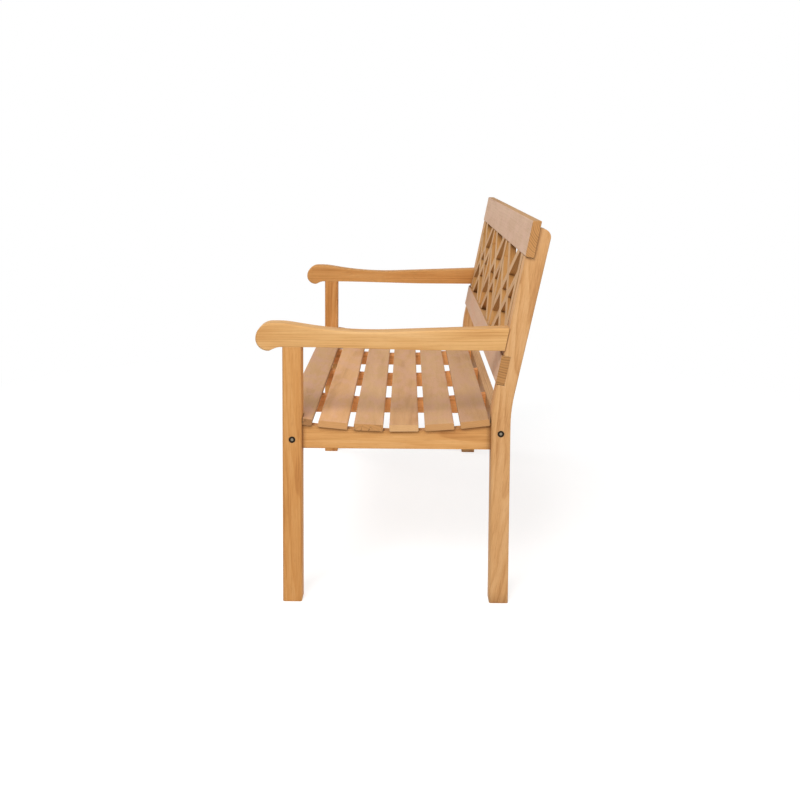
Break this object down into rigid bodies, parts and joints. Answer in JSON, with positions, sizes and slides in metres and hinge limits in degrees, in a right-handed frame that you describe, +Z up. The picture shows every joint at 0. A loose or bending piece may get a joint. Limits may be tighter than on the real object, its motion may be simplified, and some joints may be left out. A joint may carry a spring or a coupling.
{
  "type": "garden bench",
  "caption": "Wooden garden bench with a slatted dished seat, scrolled armrests and a leaning back filled with a diamond lattice, to stand outdoors and sit on.",
  "frame": {"origin": "on the floor under the middle of the bench's bounding box", "axes": "+X along the bench to the right as seen from the front, +Y from the front of the seat to its back, +Z up"},
  "size_m": [1.212, 0.6844, 0.9118],
  "materials": {
    "frame_teak": "sanded, oiled",
    "seat_teak": "sanded, matte",
    "back_teak": "sanded, matte",
    "bolt_metal": "dark bronzed",
    "nut_steel": "zinc plated"
  },
  "bodies": {
    "root": {"armrest_left": "frame_teak", "armrest_right": "frame_teak", "back_lower_rail": "back_teak", "back_stile_1": "back_teak", "back_stile_2": "back_teak", "back_stile_3": "back_teak", "back_stile_4": "back_teak", "back_top_rail": "back_teak", "end_rail_left": "frame_teak", "end_rail_right": "frame_teak", "frame_bolts": "bolt_metal", "front_leg_left": "frame_teak", "front_leg_right": "frame_teak", "front_seat_rail": "seat_teak", "lattice_1_strip_1": "back_teak", "lattice_1_strip_2": "back_teak", "lattice_1_strip_3": "back_teak", "lattice_1_strip_4": "back_teak", "lattice_2_strip_1": "back_teak", "lattice_2_strip_2": "back_teak", "lattice_2_strip_3": "back_teak", "lattice_2_strip_4": "back_teak", "lattice_3_strip_1": "back_teak", "lattice_3_strip_2": "back_teak", "lattice_3_strip_3": "back_teak", "lattice_3_strip_4": "back_teak", "rear_post_left": "frame_teak", "rear_post_right": "frame_teak", "rear_seat_rail": "seat_teak", "seat_bearer_1": "seat_teak", "seat_bearer_2": "seat_teak", "seat_bearer_3": "seat_teak", "seat_slat_1": "seat_teak", "seat_slat_2": "seat_teak", "seat_slat_3": "seat_teak", "seat_slat_4": "seat_teak", "seat_slat_5": "seat_teak", "seat_slat_6": "seat_teak", "square_nuts": "nut_steel"}
  },
  "joints": []
}
